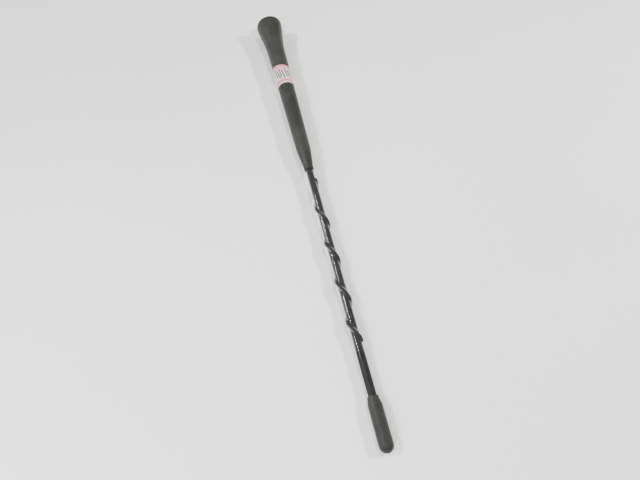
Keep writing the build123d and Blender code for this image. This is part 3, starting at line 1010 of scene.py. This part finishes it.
class MAST_OT_add_spring(bpy.types.Operator):
    """Adds the flexing spring, in two lengths that meet where the boot is split"""

    bl_idname = "mast.add_spring"
    bl_label = "Add Flexing Spring"

    def execute(self, context):
        stud = context.scene.mast_stud
        wire, pitch = stud.spring_wire, stud.spring_pitch
        radius = radius_of("flex_spring") - wire
        first = start_of("flex_spring") + wire
        turns = round((end_of("flex_spring") - wire - first) / pitch)
        lower_turns = round((BOOT_SPLIT - first) / pitch)
        steel = turned("spring_steel")
        middle = first + lower_turns * pitch
        lengths = (
            ("spring_lower", first, lower_turns, bend_below),
            ("spring_upper", middle, turns - lower_turns, bend_above),
        )
        for name, start, count, bend in lengths:
            made = coil(name, start, count, radius, wire, pitch)
            bend(made)
            dress(made, steel, "spring_steel", "flex_spring")
        return {"FINISHED"}


class MAST_OT_add_braid(bpy.types.Operator):
    """Adds the bonding braid through the spring, in two lengths that meet where the boot is split"""

    bl_idname = "mast.add_braid"
    bl_label = "Add Bonding Braid"

    def execute(self, context):
        stud = context.scene.mast_stud
        radius = radius_of("bonding_braid")
        copper = turned("braid_copper")
        lay = 3.2 * MM

        def reshape(x, old, angle):
            forward = np.cos(4 * angle + 2 * pi * x / lay)
            back = np.cos(4 * angle - 2 * pi * x / lay)
            return old - stud.strand_depth * (1 - np.maximum(forward, back)) / 2

        lengths = (
            ("braid_lower", start_of("bonding_braid"), BOOT_SPLIT, bend_below),
            ("braid_upper", BOOT_SPLIT, end_of("bonding_braid"), bend_above),
        )
        for name, low, high, bend in lengths:
            outline = [(low, 0)] + [(x, radius) for x in stations(low, high, 0.3 * MM)] + [(high, 0)]
            made = spun(name, outline, 32, closed=False, reshape=reshape)
            bend(made)
            dress(made, copper, "copper", "bonding_braid")
        return {"FINISHED"}


class MAST_OT_finish_metal_parts(bpy.types.Operator):
    """Gives the parts that keep their CAD shape their finishes"""

    bl_idname = "mast.finish_metal_parts"
    bl_label = "Finish Ferrules, Windings and Rod"

    def execute(self, context):
        for name, material in inner_finishes().items():
            for material_slot in frame["nodes"][name].material_slots:
                material_slot.material = material
        return {"FINISHED"}


# ---- The stage ----


# Each lamp: its name, its place in metres, where it aims on the table, its size and its power.
ROD_MIDDLE, NEAR_CORNER = (0.15, 0.0), (0.30, -0.14)
GLINT_LAMP = ("lamp_left", (-0.126, -0.774, 0.877), ROD_MIDDLE, 0.10, 12.5)
SOFT_LAMPS = (
    ("lamp_right", (0.15, 0.558, 0.497), ROD_MIDDLE, 0.08, 6.2),
    ("lamp_above", (0.02, 0.16, 0.75), ROD_MIDDLE, 0.06, 3.6),
    ("lamp_near", (0.36, -0.26, 0.26), NEAR_CORNER, 0.4, 2.4),
)
COOL, WARM = (0.96, 0.98, 1.0), (1.0, 0.99, 0.97)
VIEW_MIDDLE = (0.1671, -0.004)


def table_directions():
    """Along the mast on the table, and up from the table. The mast lies on its rim and its cap."""
    boot = bpy.context.scene.mast_boot
    lean = atan2(RIM_RADIUS - CAP_RADIUS, MAST_END - CAP_RADIUS - boot.rim_land)
    return Vector((cos(lean), 0, sin(lean))), Vector((-sin(lean), 0, cos(lean)))


def table_point(along, across):
    """A point on the table, under a place along the mast."""
    forward, up = table_directions()
    touch = Vector((bpy.context.scene.mast_boot.rim_land, 0, -RIM_RADIUS))
    return touch + forward * (along - touch.x) + Vector((0, across, 0))


def add_lamp(lamp, tint):
    """A soft round lamp."""
    name, where, aim, size, power = lamp
    light = bpy.data.lights.new(name, "AREA")
    light.shape = "DISK"
    light.size = size
    light.energy = power
    light.color = tint
    made = bpy.data.objects.new(name, light)
    made.location = where
    made.rotation_euler = (table_point(*aim) - Vector(where)).to_track_quat("-Z", "Y").to_euler()
    bpy.context.scene.collection.objects.link(made)
    return made


def table_material(stage):
    """Pale laminate, very slightly uneven."""
    material, tree, bsdf = new_material("table_laminate")
    where = place(tree, "ShaderNodeTexCoord").outputs["Object"]
    cloud = noise(tree, where, 6.0, 3.0)
    darker = [0.965 * value for value in stage.table_colour]
    mixed = blended(tree, ramped(tree, cloud, 0.3, 0.7), opaque(stage.table_colour), opaque(darker))
    tree.links.new(mixed, bsdf.inputs["Base Color"])
    bsdf.inputs["Roughness"].default_value = 0.55
    bsdf.inputs["Specular IOR Level"].default_value = 0.3
    return material


class MAST_OT_add_stage(bpy.types.Operator):
    """Adds the table, the lights and the camera"""

    bl_idname = "mast.add_stage"
    bl_label = "Add Stage"

    def execute(self, context):
        stage = context.scene.mast_stage
        self.add_table(stage)
        self.add_lights(context)
        self.add_camera(context, stage)
        return {"FINISHED"}

    def add_table(self, stage):
        """A large flat table that the rim and the cap touch."""
        forward, up = table_directions()
        across = up.cross(forward)
        turned_table = Matrix((forward, across, up)).transposed().to_4x4()
        bm = bmesh.new()
        size = stage.table_size / 2
        bmesh.ops.create_grid(bm, x_segments=2, y_segments=2, size=size)
        placed = Matrix.Translation(table_point(0.14, 0)) @ turned_table
        bmesh.ops.transform(bm, matrix=placed, verts=bm.verts)
        table = finished("table", bm)
        table.data.materials.append(table_material(stage))

    def add_lights(self, context):
        """Soft lamps and pale light from all round. Only one lamp shows as a highlight."""
        add_lamp(GLINT_LAMP, COOL)
        for lamp in SOFT_LAMPS:
            add_lamp(lamp, WARM).visible_glossy = False
        world = bpy.data.worlds.new("room")
        context.scene.world = world
        world.use_nodes = True
        background = world.node_tree.nodes["Background"]
        background.inputs["Color"].default_value = (0.93, 0.95, 0.97, 1)
        background.inputs["Strength"].default_value = 0.26

    def add_camera(self, context, stage):
        """A camera above the tip's side, looking back along the mast."""
        forward, up = table_directions()
        level = -forward * cos(stage.heading) + Vector((0, 1, 0)) * sin(stage.heading)
        looking = level * cos(stage.tilt) - up * sin(stage.tilt)
        right = looking.cross(up).normalized()
        top = right.cross(looking)
        lens = bpy.data.cameras.new("camera")
        lens.lens = stage.lens
        lens.sensor_width = 36
        lens.clip_start = 1 * MM
        lens.clip_end = 50
        made = bpy.data.objects.new("camera", lens)
        where = table_point(*VIEW_MIDDLE) - looking * stage.distance
        facing = Matrix((right, top, -looking)).transposed().to_4x4()
        made.matrix_world = Matrix.Translation(where) @ facing
        context.scene.collection.objects.link(made)
        context.scene.camera = made


# ---- Panel and registration ----

OPERATORS = (
    MAST_OT_add_boot,
    MAST_OT_add_label,
    MAST_OT_add_sleeve,
    MAST_OT_add_cord,
    MAST_OT_add_tip_cap,
    MAST_OT_add_stud,
    MAST_OT_add_spring,
    MAST_OT_add_braid,
    MAST_OT_finish_metal_parts,
    MAST_OT_add_stage,
)

SETTINGS = {
    "mast_boot": BootSettings,
    "mast_sleeve": SleeveSettings,
    "mast_cap": CapSettings,
    "mast_label": LabelSettings,
    "mast_stud": StudSettings,
    "mast_stage": StageSettings,
}


class MAST_PT_pieces(bpy.types.Panel):
    """Lists the mast's pieces"""

    bl_label = "Whip Aerial Mast"
    bl_idname = "MAST_PT_pieces"
    bl_space_type = "VIEW_3D"
    bl_region_type = "UI"
    bl_category = "Mast"

    def draw(self, context):
        for operator in OPERATORS:
            self.layout.operator(operator.bl_idname)


def register():
    for settings in SETTINGS.values():
        bpy.utils.register_class(settings)
    for operator in OPERATORS:
        bpy.utils.register_class(operator)
    bpy.utils.register_class(MAST_PT_pieces)
    for name, settings in SETTINGS.items():
        setattr(bpy.types.Scene, name, PointerProperty(type=settings))


def unregister():
    for name in SETTINGS:
        delattr(bpy.types.Scene, name)
    bpy.utils.unregister_class(MAST_PT_pieces)
    for operator in reversed(OPERATORS):
        bpy.utils.unregister_class(operator)
    for settings in reversed(SETTINGS.values()):
        bpy.utils.unregister_class(settings)


def main():
    register()
    for operator in OPERATORS:
        group, name = operator.bl_idname.split(".")
        if getattr(getattr(bpy.ops, group), name)() != {"FINISHED"}:
            raise RuntimeError(f"{operator.bl_label} did not finish")
    bpy.context.view_layer.update()


if __name__ == "__main__":
    main()
